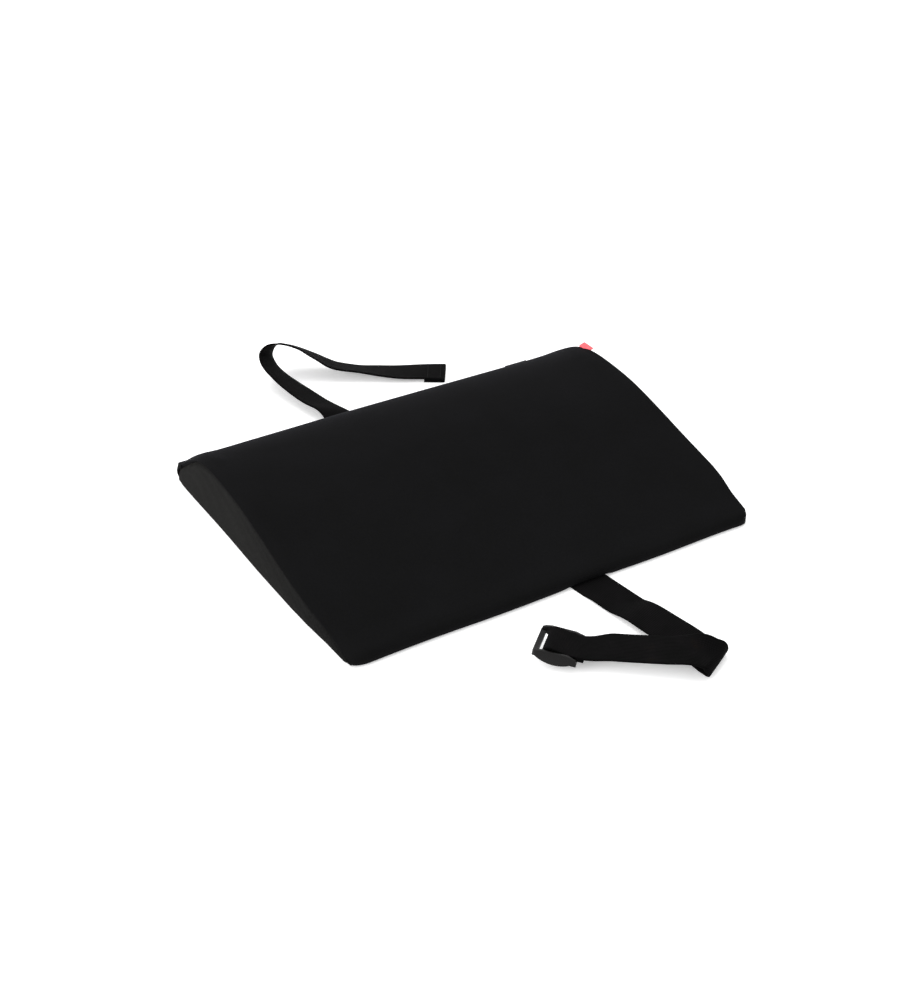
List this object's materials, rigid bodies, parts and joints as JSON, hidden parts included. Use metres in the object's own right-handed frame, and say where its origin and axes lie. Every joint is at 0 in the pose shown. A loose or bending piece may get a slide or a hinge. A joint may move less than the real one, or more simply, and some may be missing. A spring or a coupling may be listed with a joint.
{
  "type": "lumbar support cushion",
  "caption": "Slim wedge-shaped foam lumbar cushion in a zipped black fabric cover, with an elastic strap across its back and a plastic strap adjuster.",
  "frame": {"origin": "middle of the flat back, on the surface that the cushion lies on; the strap's flat underside passes through it", "axes": "+Z out of the back, towards the padded front. +Y from the thin edge to the blunt edge. +X to the end that carries the side tag."},
  "size_m": [0.3859, 0.5913, 0.0545],
  "materials": {
    "knit": "smooth close knit, black, soft sheen at glancing angles",
    "panel": "plain black fabric with a fine fleck, matt",
    "foam": "grey open-cell polyurethane foam",
    "webbing": "ribbed elastic webbing, black, matt",
    "acetal": "moulded black plastic, glossy",
    "thread": "black sewing thread",
    "zip_nylon": "black nylon coil and woven tape",
    "zip_enamel": "black enamelled zinc",
    "tag": "folded woven tape, coral pink, blank"
  },
  "bodies": {
    "cushion": {"cover_top_panel": "knit", "cover_back_panel": "panel", "end_panel_left": "panel", "end_panel_right": "panel", "foam_core": "foam", "strap_back_run": "webbing", "thread_box_stitch": "thread", "zip_tape_upper": "zip_nylon", "zip_tape_lower": "zip_nylon", "zip_coil_upper": "zip_nylon", "zip_coil_lower": "zip_nylon", "zip_top_stop": "zip_enamel", "zip_bottom_stop": "zip_enamel", "side_tag": "tag"},
    "buckle_strap": {"strap_buckle_run": "webbing", "thread_loop_stitch": "thread"},
    "adjuster": {"strap_adjuster": "acetal"},
    "plain_strap": {"strap_plain_run": "webbing", "thread_hem_stitch": "thread"},
    "slider": {"zip_slider": "zip_enamel"},
    "puller": {"zip_puller": "zip_enamel"}
  },
  "joints": [
    {"name": "buckle_strap_swing", "type": "hinge", "parent": "cushion", "child": "buckle_strap", "pos_m": [0.02323, -0.1612, 0.0008], "axis": [-0.9903, -0.1392, 0], "range_deg": [-90, 90]},
    {"name": "plain_strap_swing", "type": "hinge", "parent": "cushion", "child": "plain_strap", "pos_m": [-0.02208, 0.1612, 0.0008], "axis": [0.9903, 0.1392, 0], "range_deg": [-90, 90]},
    {"name": "adjuster_swing", "type": "hinge", "parent": "buckle_strap", "child": "adjuster", "pos_m": [-0.0519, -0.21443, 0.0106], "axis": [0.711, 0.691, -0.1305], "range_deg": [0, 90]},
    {"name": "zip_slide", "type": "slide", "parent": "cushion", "child": "slider", "axis": [-1, 0, 0], "range_m": [0, 0.329]},
    {"name": "puller_flip", "type": "hinge", "parent": "slider", "child": "puller", "pos_m": [0.1645, 0.15494, 0.01359], "axis": [0, 0.4848, -0.8746], "range_deg": [0, 180]}
  ]
}
